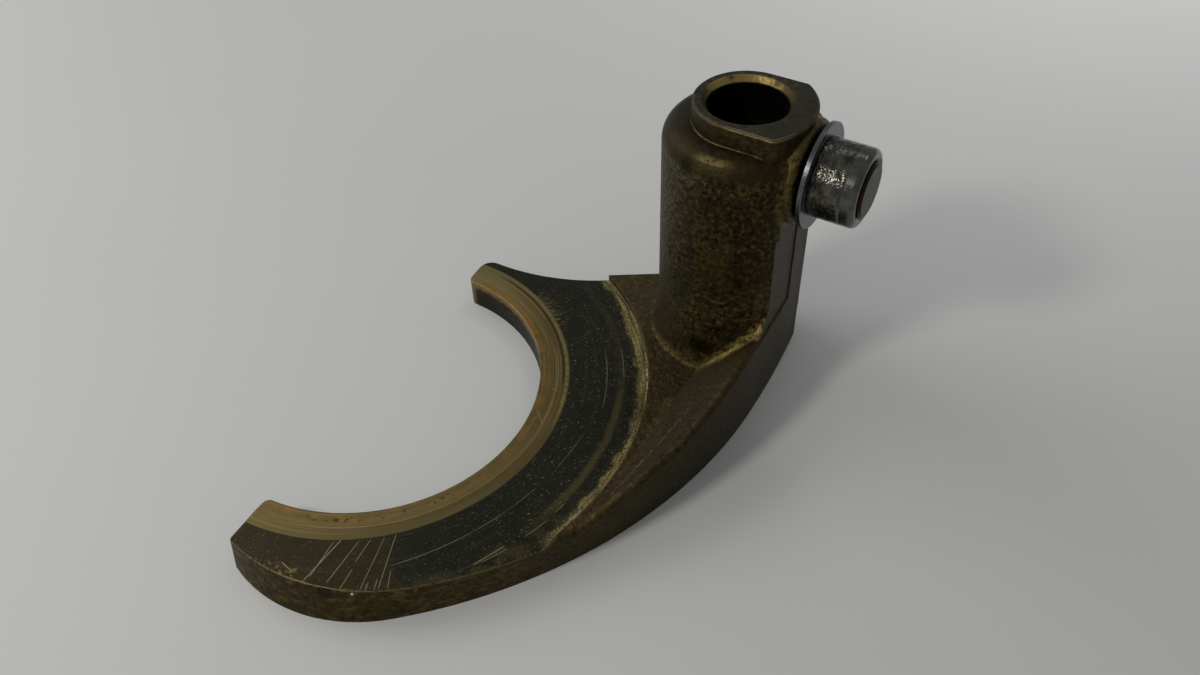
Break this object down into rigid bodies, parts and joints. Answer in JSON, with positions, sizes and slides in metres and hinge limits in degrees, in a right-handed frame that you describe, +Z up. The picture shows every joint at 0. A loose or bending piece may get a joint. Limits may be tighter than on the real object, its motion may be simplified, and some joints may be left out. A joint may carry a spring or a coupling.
{
  "type": "shift fork",
  "caption": "Gearbox shift fork: a bronze-coloured casting with an open jaw and a tall rod boss, carrying a roller on a pin for the drum's cam groove.",
  "frame": {"origin": "on the axis of the selector-rod bore, in the flat face that the fork rests on", "axes": "+Z up along the rod bore; the jaw's centre lies on -X, 60.8 mm from the rod axis; +Y completes the right-handed set"},
  "size_m": [0.101, 0.0679, 0.0498],
  "materials": {
    "bronze_casting": "dark patina over cast bronze, machined and worn bright in places",
    "pin_steel": "satin",
    "washer_steel": "satin",
    "roller_steel": "worn satin"
  },
  "bodies": {
    "casting": {"fork": "bronze_casting", "follower_pin": "pin_steel"},
    "washer": {"thrust_washer": "washer_steel"},
    "roller": {"cam_roller": "roller_steel"}
  },
  "joints": [
    {"name": "washer_spin", "type": "hinge", "parent": "casting", "child": "washer", "pos_m": [0.00906, -0.00802, 0.0407], "axis": [0.749, -0.6626, 0], "continuous": true},
    {"name": "roller_spin", "type": "hinge", "parent": "casting", "child": "roller", "pos_m": [0.01161, -0.01027, 0.0407], "axis": [0.749, -0.6626, 0], "continuous": true}
  ]
}
